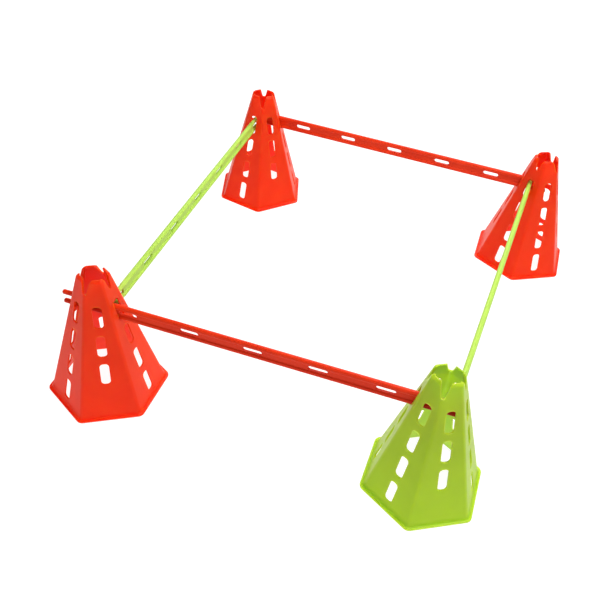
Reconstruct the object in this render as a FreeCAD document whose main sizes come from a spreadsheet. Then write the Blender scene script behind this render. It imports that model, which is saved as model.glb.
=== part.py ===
import FreeCAD, Part
import math
import os

# Four-cone, four-bar agility hurdle set, in millimetres, +Z up.
# The origin is on the floor, under the centre of the whole standing layout.
# The front bar runs along +X, and the back pair of cones stands towards +Y.

doc = FreeCAD.newDocument("agility_hurdle")
V = FreeCAD.Vector

# ---------------------------------------------------------------- dimensions
SIZES = {
    # hollow hexagonal cone, sizes across the sharp corners before rounding
    "cone_height": 279.5,
    "foot_radius": 118.5,
    "foot_corner": 14.0,
    "foot_thick": 3.5,
    "base_radius": 111.8,
    "base_corner": 9.0,
    "crown_radius": 29.6,
    "crown_corner": 8.0,
    "wall_thick": 3.0,
    "crown_wall": 5.5,
    "crown_start": 245.0,
    "crown_round": 2.2,
    "foot_blend": 3.0,
    # slots in the six faces: the lowest row is missing on one opposite pair
    "slot_width": 17.2,
    "slot_tall": 43.0,
    "slot_corner": 6.5,
    "slot_low": 37.6,
    "slot_rise": 57.5,
    # four crown notches, in two crossing pairs
    "notch_floor": 254.5,
    "notch_round": 3.8,
    "notch_flare": 12.0,
    # bar: two round rails with a slotted web between them
    "bar_span": 750.0,
    "peg_reach": 32.0,
    "peg_diam": 9.5,
    "peg_round": 3.6,
    "rail_diam": 10.5,
    "rail_gap": 21.0,
    "web_thick": 5.0,
    "window_long": 36.5,
    "window_tall": 9.4,
    "window_pitch": 121.0,
    "window_count": 5.0,
    "bar_height": 204.7,
}

# name: x, y of the axis on the floor, and turn about +Z in degrees
CONES = {
    "cone_front_left": (-361.3, -389.2, 31.0),
    "cone_front_right": (279.6, -389.2, 30.0),
    "cone_back_left": (-344.0, 393.9, 47.5),
    "cone_back_right": (361.7, 382.8, 90.0),
}

# name: x, y of the middle, and direction about +Z in degrees
BARS = {
    "bar_front": (-56.2, -390.2, 0.0),
    "bar_back": (5.4, 394.5, -2.35),
    "bar_left": (-347.6, 7.5, 91.2),
    "bar_right": (320.6, -4.8, 86.9),
}

sheet = doc.addObject("Spreadsheet::Sheet", "Sizes")
for row, (alias, value) in enumerate(SIZES.items(), start=1):
    sheet.set("A%d" % row, alias)
    sheet.set("B%d" % row, str(value))
    sheet.setAlias("B%d" % row, alias)
row = len(SIZES) + 1
for name, (x, y, turn) in list(CONES.items()) + list(BARS.items()):
    for suffix, value in (("east", x), ("north", y), ("turn", turn)):
        sheet.set("A%d" % row, name + "_" + suffix)
        sheet.set("B%d" % row, str(value))
        sheet.setAlias("B%d" % row, name + "_" + suffix)
        row += 1
doc.recompute()

S = SIZES
COS30 = math.cos(math.radians(30.0))


def bind(obj, prop, formula):
    obj.setExpression(prop, formula)


def origin_plane(body, role):
    return [f for f in body.Origin.OriginFeatures if f.Role == role][0]


def sketch_on(body, label, role, offset=V(0, 0, 0), turn=0.0, spin_axis=V(0, 0, 1)):
    """A sketch on one of the body's own origin planes, shifted and turned."""
    sk = body.newObject("Sketcher::SketchObject", label)
    sk.AttachmentSupport = [(origin_plane(body, role), "")]
    sk.MapMode = "FlatFace"
    sk.AttachmentOffset = FreeCAD.Placement(offset, FreeCAD.Rotation(spin_axis, turn))
    return sk


def arc(sk, cx, cy, radius, start, end):
    circle = Part.Circle(V(cx, cy, 0), V(0, 0, 1), radius)
    sk.addGeometry(Part.ArcOfCircle(circle, start, end), False)


def line(sk, a, b):
    sk.addGeometry(Part.LineSegment(V(a[0], a[1], 0), V(b[0], b[1], 0)), False)


def rounded_hexagon(sk, radius, corner):
    """Hexagon with rounded corners at 0, 60, ... degrees; radius is to the sharp corner."""
    centre_r = radius - corner / COS30
    for k in range(6):
        a = math.radians(60.0 * k)
        cx, cy = centre_r * math.cos(a), centre_r * math.sin(a)
        lo, hi = a - math.pi / 6, a + math.pi / 6
        arc(sk, cx, cy, corner, lo, hi)
        b = a + math.pi / 3
        nx, ny = centre_r * math.cos(b), centre_r * math.sin(b)
        start = (cx + corner * math.cos(hi), cy + corner * math.sin(hi))
        end = (nx + corner * math.cos(hi), ny + corner * math.sin(hi))
        line(sk, start, end)


def rounded_rectangle(sk, cx, cy, width, height, corner):
    hw, hh = width / 2 - corner, height / 2 - corner
    corners = [(hw, hh, 0.0), (-hw, hh, 0.5), (-hw, -hh, 1.0), (hw, -hh, 1.5)]
    for k, (dx, dy, quarter) in enumerate(corners):
        start = quarter * math.pi
        end = start + math.pi / 2
        arc(sk, cx + dx, cy + dy, corner, start, end)
        ex, ey, _ = corners[(k + 1) % 4]
        a = (cx + dx + corner * math.cos(end), cy + dy + corner * math.sin(end))
        b = (cx + ex + corner * math.cos(end), cy + ey + corner * math.sin(end))
        if math.hypot(a[0] - b[0], a[1] - b[1]) > 1e-6:
            line(sk, a, b)


def outer_radius(z):
    return S["base_radius"] + (S["crown_radius"] - S["base_radius"]) * z / S["cone_height"]


def outer_corner(z):
    return S["base_corner"] + (S["crown_corner"] - S["base_corner"]) * z / S["cone_height"]


def loft(body, kind, label, lower, upper):
    feature = body.newObject("PartDesign::" + kind, label)
    feature.Profile = lower
    feature.Sections = [upper]
    feature.Ruled = True
    return feature


def cone_shell(body, tag):
    """Outer frustum with its foot, then the cavity in two lofts."""
    foot = sketch_on(body, tag + "_foot_outline", "XY_Plane")
    rounded_hexagon(foot, S["foot_radius"], S["foot_corner"])
    pad = body.newObject("PartDesign::Pad", tag + "_foot")
    pad.Profile = foot
    bind(pad, "Length", "Sizes.foot_thick")
    low = sketch_on(body, tag + "_base_outline", "XY_Plane")
    rounded_hexagon(low, S["base_radius"], S["base_corner"])
    high = sketch_on(body, tag + "_crown_outline", "XY_Plane", V(0, 0, S["cone_height"]))
    bind(high, "AttachmentOffset.Base.z", "Sizes.cone_height")
    rounded_hexagon(high, S["crown_radius"], S["crown_corner"])
    loft(body, "AdditiveLoft", tag + "_frustum", low, high)
    doc.recompute()

    stations = [
        (-1.0, S["wall_thick"]),
        (S["crown_start"], S["wall_thick"]),
        (S["cone_height"] + 1.0, S["crown_wall"]),
    ]
    rings = []
    for k, (z, wall) in enumerate(stations):
        ring = sketch_on(body, "%s_cavity_%d" % (tag, k), "XY_Plane", V(0, 0, z))
        radius = outer_radius(z) - wall / COS30
        rounded_hexagon(ring, radius, max(outer_corner(z) - wall, 2.5))
        rings.append(ring)
    loft(body, "SubtractiveLoft", tag + "_cavity", rings[0], rings[1])
    loft(body, "SubtractiveLoft", tag + "_crown_bore", rings[1], rings[2])
    doc.recompute()


def edges_where(shape, test):
    return ["Edge%d" % (i + 1) for i, e in enumerate(shape.Edges) if test(e)]


def cone_rounds(body, tag):
    """Soft outer edge on the crown and a blend where the shell meets its foot."""
    top = S["cone_height"]
    crown_apothem = (S["crown_radius"] - 1.5) * COS30

    def crown_edge(e):
        mid = e.valueAt((e.FirstParameter + e.LastParameter) / 2)
        flat = abs(e.BoundBox.ZMax - top) < 0.01 and e.BoundBox.ZLength < 0.01
        return flat and math.hypot(mid.x, mid.y) > crown_apothem

    def foot_edge(e):
        mid = e.valueAt((e.FirstParameter + e.LastParameter) / 2)
        level = abs(e.BoundBox.ZMax - S["foot_thick"]) < 0.01 and e.BoundBox.ZLength < 0.01
        return level and abs(flat_radius(mid) - shell_flat) < 0.8

    shell_flat = outer_radius(S["foot_thick"]) * COS30
    for label, test, size in (
        ("crown_round", crown_edge, "crown_round"),
        ("foot_blend", foot_edge, "foot_blend"),
    ):
        base = body.Tip
        names = edges_where(base.Shape, test)
        fillet = body.newObject("PartDesign::Fillet", "%s_%s" % (tag, label))
        fillet.Base = (base, names)
        fillet.Radius = S[size]
        bind(fillet, "Radius", "Sizes." + size)
        body.Tip = fillet
        doc.recompute()


def flat_radius(p):
    """Distance from the axis measured square to the nearest face of the hexagon."""
    angle = math.atan2(p.y, p.x) % (math.pi / 3) - math.pi / 6
    return math.hypot(p.x, p.y) * math.cos(angle)


def pocket_through(body, sk, label):
    cut = body.newObject("PartDesign::Pocket", label)
    cut.Profile = sk
    cut.Type = 1
    cut.Midplane = True
    body.Tip = cut
    doc.recompute()
    return cut


def repeat_round(body, feature, label, count, angle):
    pattern = body.newObject("PartDesign::PolarPattern", label)
    pattern.Originals = [feature]
    pattern.Axis = (origin_plane(body, "Z_Axis"), [""])
    pattern.Angle = angle
    pattern.Occurrences = count
    body.Tip = pattern
    doc.recompute()


def cone_slots(body, tag):
    """Each cut goes straight through two opposite faces."""
    levels = [S["slot_low"] + k * S["slot_rise"] for k in range(4)]
    short = sketch_on(body, tag + "_three_slots", "XZ_Plane")
    for z in levels[1:]:
        rounded_rectangle(short, 0, z, S["slot_width"], S["slot_tall"], S["slot_corner"])
    pocket_through(body, short, tag + "_slots_short_pair")
    full = sketch_on(body, tag + "_four_slots", "XZ_Plane", V(0, 0, 0), 60.0, V(0, 1, 0))
    for z in levels:
        rounded_rectangle(full, 0, z, S["slot_width"], S["slot_tall"], S["slot_corner"])
    cut = pocket_through(body, full, tag + "_slots_full_pair")
    repeat_round(body, cut, tag + "_slots_second_pair", 2, 60.0)


def cone_notches(body, tag):
    """One flared notch pair across two corners, a second pair square to it."""
    top = S["cone_height"] + 4.0
    flare = math.radians(S["notch_flare"])
    r = S["notch_round"]
    zc = S["notch_floor"] + r
    sk = sketch_on(body, tag + "_notch", "XZ_Plane", V(0, 0, 0), -30.0, V(0, 1, 0))
    right = (r * math.cos(flare), zc - r * math.sin(flare))
    half = r / math.cos(flare) + (top - zc) * math.tan(flare)
    arc(sk, 0, zc, r, math.pi + flare, 2 * math.pi - flare)
    line(sk, right, (half, top))
    line(sk, (half, top), (-half, top))
    line(sk, (-half, top), (-right[0], right[1]))
    cut = pocket_through(body, sk, tag + "_notch_pair")
    repeat_round(body, cut, tag + "_notch_cross", 2, 90.0)


def build_cone(name):
    body = doc.addObject("PartDesign::Body", name)
    body.Label = name
    cone_shell(body, name)
    cone_rounds(body, name)
    cone_slots(body, name)
    cone_notches(body, name)
    place(body, name, 0.0)
    return body


def place(body, name, height):
    body.Placement = FreeCAD.Placement(V(0, 0, height), FreeCAD.Rotation(V(0, 0, 1), 0))
    bind(body, "Placement.Base.x", "Sizes.%s_east" % name)
    bind(body, "Placement.Base.y", "Sizes.%s_north" % name)
    bind(body, "Placement.Rotation.Angle", "Sizes.%s_turn * 1 deg" % name)


def rail_profile(sk):
    """Dumb-bell section: two rails joined by the web, drawn with the height upwards."""
    r, gap, web = S["rail_diam"] / 2, S["rail_gap"] / 2, S["web_thick"] / 2
    dip = math.sqrt(r * r - web * web)
    lean = math.asin(web / r)
    arc(sk, 0, gap, r, -math.pi / 2 + lean, 1.5 * math.pi - lean)
    arc(sk, 0, -gap, r, math.pi / 2 + lean, 2.5 * math.pi - lean)
    line(sk, (-web, gap - dip), (-web, dip - gap))
    line(sk, (web, dip - gap), (web, gap - dip))


def build_bar(name):
    body = doc.addObject("PartDesign::Body", name)
    body.Label = name
    section = sketch_on(body, name + "_section", "YZ_Plane")
    rail_profile(section)
    rails = body.newObject("PartDesign::Pad", name + "_rails")
    rails.Profile = section
    rails.Midplane = True
    bind(rails, "Length", "Sizes.bar_span - 2 * Sizes.peg_reach")

    windows = sketch_on(body, name + "_window", "XZ_Plane")
    pitch, count = S["window_pitch"], int(S["window_count"])
    first = -pitch * (count - 1) / 2
    rounded_rectangle(windows, first, 0, S["window_long"], S["window_tall"],
                      S["window_tall"] / 2 - 0.05)
    doc.recompute()
    cut = pocket_through(body, windows, name + "_first_window")
    row_of = body.newObject("PartDesign::LinearPattern", name + "_windows")
    row_of.Originals = [cut]
    row_of.Direction = (origin_plane(body, "X_Axis"), [""])
    row_of.Occurrences = count
    bind(row_of, "Length", "Sizes.window_pitch * (Sizes.window_count - 1)")
    body.Tip = row_of
    doc.recompute()

    pegs = sketch_on(body, name + "_pegs_outline", "YZ_Plane")
    for side in (-1, 1):
        circle = Part.Circle(V(0, side * S["rail_gap"] / 2, 0), V(0, 0, 1), S["peg_diam"] / 2)
        pegs.addGeometry(circle, False)
    peg_pad = body.newObject("PartDesign::Pad", name + "_pegs")
    peg_pad.Profile = pegs
    peg_pad.Midplane = True
    bind(peg_pad, "Length", "Sizes.bar_span")
    body.Tip = peg_pad
    doc.recompute()

    tip = S["bar_span"] / 2
    ends = edges_where(peg_pad.Shape, lambda e: abs(e.BoundBox.Center.x) > tip - 0.01)
    rounding = body.newObject("PartDesign::Fillet", name + "_peg_tips")
    rounding.Base = (peg_pad, ends)
    rounding.Radius = S["peg_round"]
    bind(rounding, "Radius", "Sizes.peg_round")
    body.Tip = rounding
    doc.recompute()
    place(body, name, S["bar_height"])
    bind(body, "Placement.Base.z", "Sizes.bar_height")
    return body


bodies = {}
for cone in CONES:
    bodies[cone] = build_cone(cone)
for bar in BARS:
    bodies[bar] = build_bar(bar)
doc.recompute()

for obj in doc.Objects:
    if "Invalid" in obj.State or "Error" in obj.State:
        raise RuntimeError("%s is in state %s" % (obj.Name, obj.State))
    if hasattr(obj, "Shape") and obj.isDerivedFrom("PartDesign::Feature"):
        if obj.Shape.isNull() or not obj.Shape.isValid():
            raise RuntimeError("%s has no valid shape" % obj.Name)

os.makedirs("parts", exist_ok=True)
for name, body in bodies.items():
    if body.Shape.isNull() or not body.Shape.isValid():
        raise RuntimeError("%s has no valid shape" % name)
    body.Shape.exportStep("parts/%s.step" % name)
    box = body.Shape.BoundBox
    FreeCAD.Console.PrintMessage(
        "%s volume %.0f mm3 box %.1f..%.1f %.1f..%.1f %.1f..%.1f solids %d\n"
        % (name, body.Shape.Volume, box.XMin, box.XMax, box.YMin, box.YMax,
           box.ZMin, box.ZMax, len(body.Shape.Solids)))
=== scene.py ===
import math

import bmesh
import bpy
from mathutils import Matrix, Vector


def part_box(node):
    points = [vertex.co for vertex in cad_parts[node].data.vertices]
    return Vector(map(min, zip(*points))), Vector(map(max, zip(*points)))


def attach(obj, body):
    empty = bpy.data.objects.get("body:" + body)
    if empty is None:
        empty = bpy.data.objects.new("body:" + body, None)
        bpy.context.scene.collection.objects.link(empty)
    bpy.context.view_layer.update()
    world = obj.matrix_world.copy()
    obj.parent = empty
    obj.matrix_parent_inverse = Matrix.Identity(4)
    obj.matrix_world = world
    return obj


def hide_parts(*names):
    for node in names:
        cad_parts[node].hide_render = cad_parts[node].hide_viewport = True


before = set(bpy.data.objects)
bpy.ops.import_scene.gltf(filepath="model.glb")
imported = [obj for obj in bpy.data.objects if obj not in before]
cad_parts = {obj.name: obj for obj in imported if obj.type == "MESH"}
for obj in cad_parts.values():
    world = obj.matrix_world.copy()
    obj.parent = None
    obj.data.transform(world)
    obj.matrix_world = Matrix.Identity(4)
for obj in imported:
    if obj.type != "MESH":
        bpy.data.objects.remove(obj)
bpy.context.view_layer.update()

MM = 0.001
COS30 = math.cos(math.radians(30.0))

# ------------------------------------------------------------------ cone sizes, mm
CONE_HEIGHT = 279.5
BASE_RADIUS = 111.8          # across the sharp corners, at the floor
CROWN_RADIUS = 29.6
BASE_CORNER, CROWN_CORNER = 9.0, 8.0
FOOT_RADIUS, FOOT_CORNER, FOOT_THICK = 118.4, 14.0, 3.5
FOOT_SWEEP_TOP, FOOT_SWEEP = 13.0, 4.6   # height at which the hollow curve ends, and its reach
FOOT_SWEEP_STEPS = 5
# softened edge of the foot as (height, inward lean)
FOOT_EDGE_ROWS = ((0.0, 0.7), (0.35, 0.2), (0.9, 0.0),
                  (FOOT_THICK - 0.9, 0.0), (FOOT_THICK - 0.3, 0.25), (FOOT_THICK, 0.9))
WALL, CROWN_WALL, CROWN_START = 3.0, 5.5, 245.0
FACE_TOP = 250.0
CROWN_ROWS = (262.5, 267.0, 271.5)
RIM_START = 275.2            # above this the rim leans inwards
SLOT_WIDTH, SLOT_TALL, SLOT_CORNER = 17.2, 43.0, 6.5
SLOT_LOW, SLOT_RISE, SLOT_ROWS = 37.6, 57.5, 4
SLOT_CORNER_STEPS = 5
NOTCH_FLOOR, NOTCH_ROUND, NOTCH_FLARE = 254.5, 3.8, math.radians(12.0)
NOTCH_STEPS = 4
THREE_SLOT_SIDES = (1, 4)    # the opposite pair of faces without the lowest slot
ARC_STEPS, FLAT_STEPS = 4, 6
SIDE_STEPS = 2 * ARC_STEPS + FLAT_STEPS
RING_STEPS = 6 * SIDE_STEPS
# notches: at corner 1, in the middle of side 2, at corner 4, in the middle of side 5, and round again
NOTCH_MIDDLES = [round(at * SIDE_STEPS) for at in (1.0, 2.5, 4.0, 5.5, 7.0)]

CONE_EDGE = 0.75             # width of the softened edges

# ------------------------------------------------------------------ bar sizes, mm
BAR_SPAN, PEG_REACH = 750.0, 32.0
PEG_RADIUS, PEG_ROUND = 4.75, 3.6
RAIL_RADIUS, RAIL_OFFSET, WEB_HALF = 5.25, 10.5, 2.5
WINDOW_LONG, WINDOW_TALL, WINDOW_PITCH, WINDOW_COUNT = 36.5, 9.4, 121.0, 5
WINDOW_END_STEPS, PEG_TIP_STEPS = 6, 7
BAR_EDGE = 0.4

# turn of each piece about +Z in degrees, and its colour
CONES = {
    "cone_front_left": (31.0, "orange"),
    "cone_front_right": (30.0, "lime"),
    "cone_back_left": (47.5, "orange"),
    "cone_back_right": (90.0, "orange"),
}
BARS = {
    "bar_front": (0.0, "orange"),
    "bar_back": (-2.35, "orange"),
    "bar_left": (91.2, "lime"),
    "bar_right": (86.9, "lime"),
}


# ------------------------------------------------------------------ cone geometry
def body_radius(z):
    return BASE_RADIUS + (CROWN_RADIUS - BASE_RADIUS) * z / CONE_HEIGHT


def body_corner(z):
    return BASE_CORNER + (CROWN_CORNER - BASE_CORNER) * z / CONE_HEIGHT


def wall_at(z):
    rise = max(0.0, (z - CROWN_START) / (CONE_HEIGHT - CROWN_START))
    return WALL + (CROWN_WALL - WALL) * rise


def inner_radius(z):
    return body_radius(z) - wall_at(z) / COS30


def inner_corner(z):
    return body_corner(z) - wall_at(z)


def side_point(side, s, radius, corner, z):
    """Point on a rounded hexagon, s mm along the outline from the middle of corner `side`."""
    middle = radius - corner / COS30
    arc = corner * math.pi / 6
    if s <= arc:
        at, angle = side, math.radians(60 * side) + s / corner
    elif s >= arc + middle:
        at, angle = side + 1, math.radians(60 * side + 30) + (s - arc - middle) / corner
    else:
        at, angle = side, math.radians(60 * side + 30)
    a = math.radians(60 * at)
    p = Vector((middle * math.cos(a), middle * math.sin(a), z))
    p += corner * Vector((math.cos(angle), math.sin(angle), 0.0))
    if arc < s < arc + middle:
        along = math.radians(60 * side + 120)
        p += (s - arc) * Vector((math.cos(along), math.sin(along), 0.0))
    return p


def side_length(radius, corner):
    return corner * math.pi / 3 + radius - corner / COS30


def notch_start(half_width, corner):
    """Outline distance from the corner's middle at which a notch of this half width ends."""
    if half_width <= corner / 2:
        return corner * math.asin(half_width / corner)
    return corner * math.pi / 6 + (half_width - corner / 2) / COS30


def outline_steps(radius, corner):
    """Distances of the samples right round the outline, with both ends of it."""
    length, arc = side_length(radius, corner), corner * math.pi / 6
    run = (length - 2 * arc) / FLAT_STEPS
    side = [arc * i / ARC_STEPS for i in range(ARC_STEPS)]
    side += [arc + run * i for i in range(FLAT_STEPS)]
    side += [length - arc + arc * i / ARC_STEPS for i in range(ARC_STEPS)]
    return [k * length + s for k in range(6) for s in side] + [6 * length]


def outline_vertex(bm, s, radius, corner, z):
    length = side_length(radius, corner)
    side = int(s / length)
    return bm.verts.new(side_point(side, s - side * length, radius, corner, z))


def closed_row(bm, radius, corner, z):
    """Row of vertices right round the cone."""
    steps = outline_steps(radius, corner)[:-1]
    return [outline_vertex(bm, s, radius, corner, z) for s in steps]


def merlon_indices(number):
    """Sample indices of one merlon, from the middle of one notch to the middle of the next."""
    first, last = NOTCH_MIDDLES[number], NOTCH_MIDDLES[number + 1]
    return range(first, last + 1)


def as_merlons(row):
    return [[row[i % RING_STEPS] for i in merlon_indices(n)] for n in range(4)]


def open_row(bm, radius, corner, z, half_width):
    """Row above the notch floor: four merlons, each drawn in from the notches beside it."""
    ring = outline_steps(radius, corner)
    total = ring[-1]
    merlons = []
    for n in range(4):
        steps = [ring[i % RING_STEPS] + total * (i // RING_STEPS) for i in merlon_indices(n)]
        at_corner = n % 2 == 0
        steps = squeeze(steps, half_width, corner, at_corner)
        back = squeeze([-s for s in reversed(steps)], half_width, corner, not at_corner)
        steps = [-s for s in reversed(back)]
        merlons.append([outline_vertex(bm, s, radius, corner, z) for s in steps])
    return merlons


def squeeze(steps, half_width, corner, at_corner):
    """Moves the first few samples off a notch whose middle is at the first of them."""
    count = SIDE_STEPS // 2 if at_corner else FLAT_STEPS // 2
    gap = notch_start(half_width, corner) if at_corner else half_width
    start, end = steps[0], steps[count]
    share = (end - start - gap) / (end - start)
    return [end - (end - s) * share if i < count else s for i, s in enumerate(steps)]


def join_rows(bm, low, high, flip=False, skip_flat=False):
    for i in range(RING_STEPS):
        if skip_flat and ARC_STEPS <= i % SIDE_STEPS < ARC_STEPS + FLAT_STEPS:
            continue
        j = (i + 1) % RING_STEPS
        quad = [low[i], low[j], high[j], high[i]]
        bm.faces.new(reversed(quad) if flip else quad)


def join_merlons(bm, low, high, flip=False):
    for below, above in zip(low, high):
        for i in range(len(below) - 1):
            quad = [below[i], below[i + 1], above[i + 1], above[i]]
            bm.faces.new(reversed(quad) if flip else quad)


def slot_outline(centre_z, sign):
    """Half of a slot's outline from its lowest to its highest point, as (u, z) pairs."""
    half_w, half_h = SLOT_WIDTH / 2, SLOT_TALL / 2
    points = [(0.0, -half_h)]
    for quarter, cz in ((0, -1), (1, 1)):
        for i in range(SLOT_CORNER_STEPS + 1):
            a = math.pi / 2 * (quarter + i / SLOT_CORNER_STEPS - 1)
            u = half_w - SLOT_CORNER + SLOT_CORNER * math.cos(a)
            points.append((u, cz * (half_h - SLOT_CORNER) + SLOT_CORNER * math.sin(a)))
    points.append((0.0, half_h))
    return [(sign * u, centre_z + dz) for u, dz in points]


def slot_levels(side):
    first = 1 if side in THREE_SLOT_SIDES else 0
    return [SLOT_LOW + SLOT_RISE * i for i in range(first, SLOT_ROWS)]


def face_panels(bm, low, high, side, radius_of, flip):
    """Two flat panels, left and right of the middle line, round the slots of one face."""
    normal = math.radians(60 * side + 30)
    out = Vector((math.cos(normal), math.sin(normal), 0.0))
    along = Vector((-math.sin(normal), math.cos(normal), 0.0))

    def place(u, z):
        return bm.verts.new(out * radius_of(z) * COS30 + along * u + Vector((0, 0, z)))

    rims = []
    for z in slot_levels(side):
        right = [place(u, w) for u, w in slot_outline(z, 1)]
        left = [place(u, w) for u, w in slot_outline(z, -1)[1:-1]]
        rims.append((right, [right[0]] + left + [right[-1]]))
    middle = ARC_STEPS + FLAT_STEPS // 2
    for which, steps in ((0, range(middle, middle + FLAT_STEPS // 2 + 1)),
                         (1, range(middle, middle - FLAT_STEPS // 2 - 1, -1))):
        loop = [low[(side * SIDE_STEPS + i) % RING_STEPS] for i in reversed(steps)]
        for rim in rims:
            loop += rim[which]
        loop += [high[(side * SIDE_STEPS + i) % RING_STEPS] for i in steps]
        clockwise = (which == 0) != flip
        bm.faces.new(reversed(loop) if clockwise else loop)
    return [right + list(reversed(left[1:-1])) for right, left in rims]


def bridge(bm, outer, inner):
    count = len(outer)
    for i in range(count):
        j = (i + 1) % count
        bm.faces.new([outer[i], outer[j], inner[j], inner[i]])


def crown_levels():
    """Heights and notch half widths from the notch floor to the top of the crown."""
    centre = NOTCH_FLOOR + NOTCH_ROUND
    levels = []
    for i in range(1, NOTCH_STEPS + 1):
        a = (math.pi / 2 - NOTCH_FLARE) * i / NOTCH_STEPS
        levels.append((centre - NOTCH_ROUND * math.cos(a), NOTCH_ROUND * math.sin(a)))
    z0, w0 = levels[-1]
    for z in CROWN_ROWS + (RIM_START,):
        levels.append((z, w0 + (z - z0) * math.tan(NOTCH_FLARE)))
    return levels


# bevelled rim as (height, outer lean, inner lean, extra notch half width)
RIM_ROWS = [
    (RIM_START + 0.5, 0.15, 0.0, 0.0),
    (RIM_START + 1.1, 0.60, 0.0, 0.0),
    (CONE_HEIGHT - 1.1, 2.50, 0.0, 0.1),
    (CONE_HEIGHT - 0.4, 2.95, 0.25, 0.35),
    (CONE_HEIGHT, 3.60, 0.80, 0.80),
]
RIM_CORNER_SHARE = 0.6       # part of the outer lean that is taken off the corner radius


def foot_and_sweep(bm):
    """Rows from the floor up to where the faces begin."""
    rows = []
    for z, lean in FOOT_EDGE_ROWS:
        rows.append(closed_row(bm, FOOT_RADIUS - lean, FOOT_CORNER - lean, z))
    for i in range(FOOT_SWEEP_STEPS + 1):
        a = math.pi / 2 * i / FOOT_SWEEP_STEPS
        z = FOOT_THICK + (FOOT_SWEEP_TOP - FOOT_THICK) * (1 - math.cos(a))
        spread = FOOT_SWEEP * (1 - math.sin(a))
        rows.append(closed_row(bm, body_radius(z) + spread, body_corner(z) + spread, z))
    for low, high in zip(rows, rows[1:]):
        join_rows(bm, low, high)
    return rows


def cone_walls(bm):
    """Outer and inner skin with their slots; gives the top row of each skin."""
    outer = foot_and_sweep(bm)
    outer_top = closed_row(bm, body_radius(FACE_TOP), body_corner(FACE_TOP), FACE_TOP)
    join_rows(bm, outer[-1], outer_top, skip_flat=True)
    inner_low = closed_row(bm, inner_radius(0.0), inner_corner(0.0), 0.0)
    inner_top = closed_row(bm, inner_radius(CROWN_START), inner_corner(CROWN_START), CROWN_START)
    join_rows(bm, inner_low, inner_top, flip=True, skip_flat=True)
    join_rows(bm, inner_low, outer[0])
    for side in range(6):
        rims_out = face_panels(bm, outer[-1], outer_top, side, body_radius, False)
        rims_in = face_panels(bm, inner_low, inner_top, side, inner_radius, True)
        for rim_out, rim_in in zip(rims_out, rims_in):
            bridge(bm, rim_out, rim_in)
    return outer_top, inner_top


def crown_base(bm, outer_top, inner_top):
    """Closed rows up to the notch floor."""
    for z in (FACE_TOP, NOTCH_FLOOR):
        row = closed_row(bm, inner_radius(z), inner_corner(z), z)
        join_rows(bm, inner_top, row, flip=True)
        inner_top = row
    floor_row = closed_row(bm, body_radius(NOTCH_FLOOR), body_corner(NOTCH_FLOOR), NOTCH_FLOOR)
    join_rows(bm, outer_top, floor_row)
    return floor_row, inner_top


def crown_merlons(bm, outer_top, inner_top):
    """Merlons between the notches, up to the bevelled rim."""
    outer_top, inner_top = as_merlons(outer_top), as_merlons(inner_top)
    levels = [(z, w, 0.0, 0.0) for z, w in crown_levels()]
    widest = levels[-1][1]
    for z, lean_out, lean_in, spread in RIM_ROWS:
        w = widest + (z - RIM_START) * math.tan(NOTCH_FLARE) + spread
        levels.append((z, w, lean_out, lean_in))
    for z, w, lean_out, lean_in in levels:
        corner_out = body_corner(z) - lean_out * RIM_CORNER_SHARE
        row_out = open_row(bm, body_radius(z) - lean_out, corner_out, z, w)
        row_in = open_row(bm, inner_radius(z) + lean_in, inner_corner(z) + lean_in, z, w)
        join_merlons(bm, outer_top, row_out)
        join_merlons(bm, inner_top, row_in, flip=True)
        for low_out, high_out, high_in, low_in in zip(outer_top, row_out, row_in, inner_top):
            bm.faces.new([low_out[0], high_out[0], high_in[0], low_in[0]])
            bm.faces.new([low_in[-1], high_in[-1], high_out[-1], low_out[-1]])
        outer_top, inner_top = row_out, row_in
    join_merlons(bm, outer_top, inner_top)


def build_cone_mesh(name):
    bm = bmesh.new()
    outer_top, inner_top = cone_walls(bm)
    outer_top, inner_top = crown_base(bm, outer_top, inner_top)
    crown_merlons(bm, outer_top, inner_top)
    bmesh.ops.recalc_face_normals(bm, faces=bm.faces)
    return bm_to_mesh(bm, name)


# ------------------------------------------------------------------ shared by cones and bars
CRISP_ANGLE = math.radians(50.0)
WELD_DISTANCE = 0.0005       # mm


def bm_to_mesh(bm, name):
    bmesh.ops.remove_doubles(bm, verts=bm.verts, dist=WELD_DISTANCE)
    bmesh.ops.scale(bm, vec=(MM, MM, MM), verts=bm.verts)
    mark_crisp_edges(bm)
    mesh = bpy.data.meshes.new(name)
    bm.to_mesh(mesh)
    bm.free()
    for poly in mesh.polygons:
        poly.use_smooth = True
    return mesh


def mark_crisp_edges(bm):
    """Edges that turn sharply get the small softening bevel."""
    layer = bm.edges.layers.float.new("bevel_weight_edge")
    for edge in bm.edges:
        if len(edge.link_faces) == 2 and edge.calc_face_angle(0.0) > CRISP_ANGLE:
            edge[layer] = 1.0


# ------------------------------------------------------------------ bar geometry
RAIL_STEPS = 22
NECK = math.asin(WEB_HALF / RAIL_RADIUS)


def rail_angles(up):
    """Angles round one rail from one side of the web to the other, web side left open."""
    start = -math.pi / 2 * up + NECK * up
    sweep = (2 * math.pi - 2 * NECK) * up
    return [start + sweep * i / RAIL_STEPS for i in range(RAIL_STEPS + 1)]


def rail_row(bm, x, up, radius):
    """Full circle of one rail at x: the open arc and one point inside the web."""
    row = []
    for a in rail_angles(up) + [-math.pi / 2 * up]:
        y, z = radius * math.cos(a), up * RAIL_OFFSET + radius * math.sin(a)
        row.append(bm.verts.new((x, y, z)))
    return row


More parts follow.
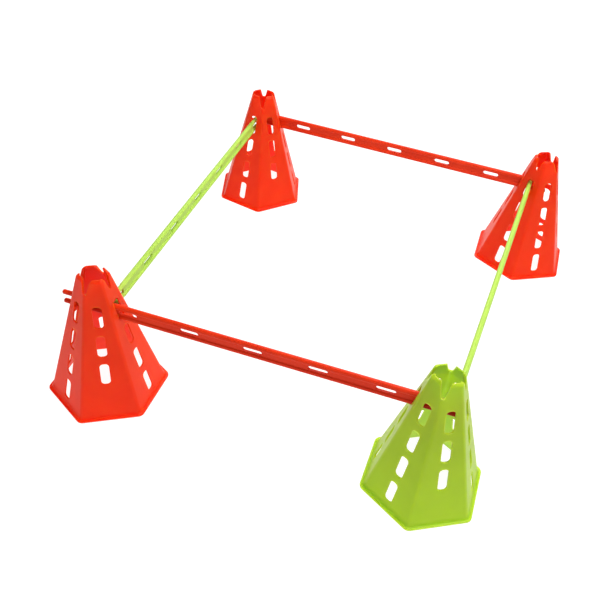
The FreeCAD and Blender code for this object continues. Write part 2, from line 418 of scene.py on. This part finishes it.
def window_outline(centre_x, sign):
    """Half outline of a web window, from its left end to its right end, as (x, z) pairs."""
    r, half = WINDOW_TALL / 2, WINDOW_LONG / 2 - WINDOW_TALL / 2
    points = []
    for cx, first in ((-half, math.pi), (half, math.pi / 2)):
        for i in range(WINDOW_END_STEPS + 1):
            a = first - math.pi / 2 * i / WINDOW_END_STEPS
            points.append((centre_x + cx + r * math.cos(a), sign * r * math.sin(a)))
    points[0] = (points[0][0], 0.0)
    points[-1] = (points[-1][0], 0.0)
    return points


def bar_web(bm, rails, mids):
    """Web panels above and below the middle line, with the windows between them."""
    centres = [WINDOW_PITCH * (i - (WINDOW_COUNT - 1) / 2) for i in range(WINDOW_COUNT)]
    rims = {}
    for face in (-1, 1):
        y = face * WEB_HALF
        loops = {-1: [], 1: []}
        for index, cx in enumerate(centres):
            top = [bm.verts.new((x, y, z)) for x, z in window_outline(cx, 1)]
            low = [bm.verts.new((x, y, z)) for x, z in window_outline(cx, -1)[1:-1]]
            low = [top[0]] + low + [top[-1]]
            rims[face, index] = top + low[-2:0:-1]
            loops[1] += top
            loops[-1] += low
        for up in (-1, 1):
            at = 0 if face == 1 else RAIL_STEPS
            panel = [mids[-1, face]] + loops[up] + [mids[1, face]]
            panel += [rails[1, up][at], rails[-1, up][at]]
            bm.faces.new(panel)
    for index in range(WINDOW_COUNT):
        bridge(bm, rims[1, index], rims[-1, index])


def peg_stations():
    """Distance from the bar's middle and radius, from the shoulder to the rounded tip."""
    end, tip = BAR_SPAN / 2 - PEG_REACH, BAR_SPAN / 2
    stations = [(end + 0.1, RAIL_RADIUS - 0.1), (end + 0.6, PEG_RADIUS)]
    for i in range(PEG_TIP_STEPS + 1):
        a = math.pi / 2 * i / PEG_TIP_STEPS
        stations.append((tip - PEG_ROUND * (1 - math.sin(a)),
                         PEG_RADIUS - PEG_ROUND * (1 - math.cos(a))))
    return stations


def bar_end(bm, rails, mids, side):
    """Cap of the web, then the two pegs."""
    up_row, low_row = rails[side, 1], rails[side, -1]
    bm.faces.new([mids[side, 1], up_row[0], up_row[-1], up_row[RAIL_STEPS],
                  mids[side, -1], low_row[RAIL_STEPS], low_row[-1], low_row[0]])
    for up in (-1, 1):
        previous = rails[side, up]
        for x, radius in peg_stations():
            row = rail_row(bm, side * x, up, radius)
            bridge(bm, previous, row)
            previous = row
        bm.faces.new(previous)


def build_bar_mesh(name):
    bm = bmesh.new()
    end = BAR_SPAN / 2 - PEG_REACH
    rails = {(side, up): rail_row(bm, side * end, up, RAIL_RADIUS)
             for side in (-1, 1) for up in (-1, 1)}
    mids = {(side, face): bm.verts.new((side * end, face * WEB_HALF, 0.0))
            for side in (-1, 1) for face in (-1, 1)}
    for up in (-1, 1):
        left, right = rails[-1, up], rails[1, up]
        for i in range(RAIL_STEPS):
            bm.faces.new([left[i], left[i + 1], right[i + 1], right[i]])
    bar_web(bm, rails, mids)
    for side in (-1, 1):
        bar_end(bm, rails, mids, side)
    bmesh.ops.recalc_face_normals(bm, faces=bm.faces)
    return bm_to_mesh(bm, name)


# ------------------------------------------------------------------ materials
def moulded_plastic(name, deep, main, glow, depth):
    """Satin moulded plastic with faint flow marks and grain; depth is how far light gets in, in m."""
    mat = bpy.data.materials.new(name)
    mat.use_nodes = True
    tree = mat.node_tree
    shader = tree.nodes["Principled BSDF"]
    coords = tree.nodes.new("ShaderNodeTexCoord")
    flow = tree.nodes.new("ShaderNodeTexNoise")
    flow.inputs["Scale"].default_value = 9.0
    flow.inputs["Detail"].default_value = 4.0
    flow.inputs["Distortion"].default_value = 1.2
    tree.links.new(coords.outputs["Object"], flow.inputs["Vector"])
    tint = tree.nodes.new("ShaderNodeValToRGB")
    tint.color_ramp.elements[0].position, tint.color_ramp.elements[0].color = 0.30, deep
    tint.color_ramp.elements[1].position, tint.color_ramp.elements[1].color = 0.72, main
    tree.links.new(flow.outputs["Fac"], tint.inputs["Fac"])
    tree.links.new(tint.outputs["Color"], shader.inputs["Base Color"])
    grain = tree.nodes.new("ShaderNodeTexNoise")
    grain.inputs["Scale"].default_value = 900.0
    grain.inputs["Detail"].default_value = 3.0
    tree.links.new(coords.outputs["Object"], grain.inputs["Vector"])
    rough = tree.nodes.new("ShaderNodeMapRange")
    rough.inputs["To Min"].default_value = 0.34
    rough.inputs["To Max"].default_value = 0.46
    tree.links.new(grain.outputs["Fac"], rough.inputs["Value"])
    tree.links.new(rough.outputs["Result"], shader.inputs["Roughness"])
    bump = tree.nodes.new("ShaderNodeBump")
    bump.inputs["Strength"].default_value = 0.04
    bump.inputs["Distance"].default_value = 0.0002
    tree.links.new(grain.outputs["Fac"], bump.inputs["Height"])
    tree.links.new(bump.outputs["Normal"], shader.inputs["Normal"])
    shader.inputs["Subsurface Weight"].default_value = 1.0 if depth else 0.0
    shader.inputs["Subsurface Radius"].default_value = glow
    shader.inputs["Subsurface Scale"].default_value = depth
    shader.inputs["Specular IOR Level"].default_value = 0.12
    return mat


# the thin cone walls let more light through than the solid bars
MATERIALS = {
    "orange_cone": moulded_plastic(
        "orange_cone", (0.76, 0.032, 0.003, 1), (0.84, 0.042, 0.004, 1), (1.0, 0.30, 0.06), 0.020),
    "orange_bar": moulded_plastic(
        "orange_bar", (0.70, 0.028, 0.004, 1), (0.80, 0.040, 0.006, 1), (1.0, 0.30, 0.06), 0.0),
    "lime_cone": moulded_plastic(
        "lime_cone", (0.32, 0.46, 0.024, 1), (0.36, 0.51, 0.030, 1), (0.8, 1.0, 0.16), 0.020),
    # the lime bar colour is a lighter, whiter copy of the lime cone plastic: painted glow and painted
    # sheen standing in for the light that comes through and off the bars, which have no subsurface
    # light of their own
    "lime_bar": moulded_plastic(
        "lime_bar", (0.38, 0.59, 0.075, 1), (0.43, 0.65, 0.09, 1), (0.8, 1.0, 0.16), 0.0),
}


# ------------------------------------------------------------------ assembly
def place_piece(name, mesh, turn, colour, kind, height, bevel_mm):
    low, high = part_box(name)
    centre = (Vector(low) + Vector(high)) / 2
    spot = Vector((centre.x, centre.y, height))
    mesh.transform(Matrix.Translation(spot) @ Matrix.Rotation(math.radians(turn), 4, "Z"))
    piece = bpy.data.objects.new(name + "_moulding", mesh)
    bpy.context.scene.collection.objects.link(piece)
    mesh.materials.append(MATERIALS[colour + "_" + kind])
    bevel = piece.modifiers.new("soft_edges", "BEVEL")
    bevel.limit_method = "WEIGHT"
    bevel.width = bevel_mm * MM
    bevel.segments = 3
    bevel.use_clamp_overlap = True
    bevel.miter_outer = "MITER_ARC"
    normals = piece.modifiers.new("flat_faces", "WEIGHTED_NORMAL")
    normals.keep_sharp = True
    normals.weight = 80
    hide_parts(name)
    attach(piece, name)


for cone_name, (cone_turn, cone_colour) in CONES.items():
    cone_mesh = build_cone_mesh(cone_name + "_shell")
    place_piece(cone_name, cone_mesh, cone_turn, cone_colour, "cone", 0.0, CONE_EDGE)

for bar_name, (bar_turn, bar_colour) in BARS.items():
    bar_low, bar_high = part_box(bar_name)
    bar_mesh = build_bar_mesh(bar_name + "_rails")
    bar_middle = (bar_low[2] + bar_high[2]) / 2
    place_piece(bar_name, bar_mesh, bar_turn, bar_colour, "bar", bar_middle, BAR_EDGE)


# ------------------------------------------------------------------ floor, light, camera
FLOOR_HALF, FLOOR_DROP = 6.0, 0.0005
AIM_POINT = (0, 0, 0.1)
# name: place, diameter, power
LAMPS = {
    "key": ((0.70, -0.05, 2.2), 1.2, 46),
    "back": ((-0.3, 2.4, 2.2), 1.8, 60),
    "fill": ((0.2, -2.8, 1.6), 2.0, 7),
}
HORIZON_GLOW, SKY_GLOW = 0.80, 0.15
# camera at the photograph's viewing angle: its place, and its axes in the scene
CAMERA_PLACE = (0.28154, -1.26785, 1.14577)
CAMERA_RIGHT = (0.94410, 0.32371, 0.06236)
CAMERA_DOWN = (0.25933, -0.61248, -0.74673)
CAMERA_FORWARD = (-0.20353, 0.72116, -0.66219)
CAMERA_LENS, SENSOR_WIDTH = 44.6, 36.0


def make_floor():
    mesh = bpy.data.meshes.new("floor")
    corners = [(-1, -1), (1, -1), (1, 1), (-1, 1)]
    points = [(x * FLOOR_HALF, y * FLOOR_HALF, -FLOOR_DROP) for x, y in corners]
    mesh.from_pydata(points, [], [(0, 1, 2, 3)])
    floor = bpy.data.objects.new("floor", mesh)
    bpy.context.scene.collection.objects.link(floor)
    mat = bpy.data.materials.new("studio_floor")
    mat.use_nodes = True
    shader = mat.node_tree.nodes["Principled BSDF"]
    shader.inputs["Base Color"].default_value = (0.22, 0.22, 0.22, 1)
    shader.inputs["Roughness"].default_value = 0.9
    shader.inputs["Specular IOR Level"].default_value = 0.0
    shader.inputs["Emission Color"].default_value = (1, 1, 1, 1)
    shader.inputs["Emission Strength"].default_value = 0.95
    mesh.materials.append(mat)


def make_lamp(name, place, diameter, power):
    data = bpy.data.lights.new(name, "AREA")
    data.shape = "DISK"
    data.size = diameter
    data.energy = power
    lamp = bpy.data.objects.new(name, data)
    lamp.location = place
    aim = Vector(AIM_POINT) - Vector(place)
    lamp.rotation_euler = aim.to_track_quat("-Z", "Y").to_euler()
    bpy.context.scene.collection.objects.link(lamp)


def make_world():
    """White studio walls near the horizon, falling to a dimmer ceiling."""
    world = bpy.data.worlds.new("studio")
    world.use_nodes = True
    tree = world.node_tree
    coords = tree.nodes.new("ShaderNodeTexCoord")
    split = tree.nodes.new("ShaderNodeSeparateXYZ")
    tree.links.new(coords.outputs["Generated"], split.inputs["Vector"])
    fade = tree.nodes.new("ShaderNodeMapRange")
    fade.inputs["From Min"].default_value = 0.12
    fade.inputs["From Max"].default_value = 0.40
    fade.inputs["To Min"].default_value = HORIZON_GLOW
    fade.inputs["To Max"].default_value = SKY_GLOW
    tree.links.new(split.outputs["Z"], fade.inputs["Value"])
    back = tree.nodes["Background"]
    back.inputs["Color"].default_value = (1, 1, 1, 1)
    tree.links.new(fade.outputs["Result"], back.inputs["Strength"])
    bpy.context.scene.world = world


def make_camera():
    data = bpy.data.cameras.new("camera")
    data.sensor_width, data.lens = SENSOR_WIDTH, CAMERA_LENS
    data.clip_start, data.clip_end = 0.05, 40.0
    camera = bpy.data.objects.new("camera", data)
    right, down, forward = Vector(CAMERA_RIGHT), Vector(CAMERA_DOWN), Vector(CAMERA_FORWARD)
    turn = Matrix((right, -down, -forward)).transposed().to_4x4()
    camera.matrix_world = Matrix.Translation(Vector(CAMERA_PLACE)) @ turn
    bpy.context.scene.collection.objects.link(camera)
    bpy.context.scene.camera = camera


bpy.context.scene.view_settings.view_transform = "Standard"
make_floor()
make_world()
for lamp_name, (lamp_place, lamp_diameter, lamp_power) in LAMPS.items():
    make_lamp(lamp_name, lamp_place, lamp_diameter, lamp_power)
make_camera()
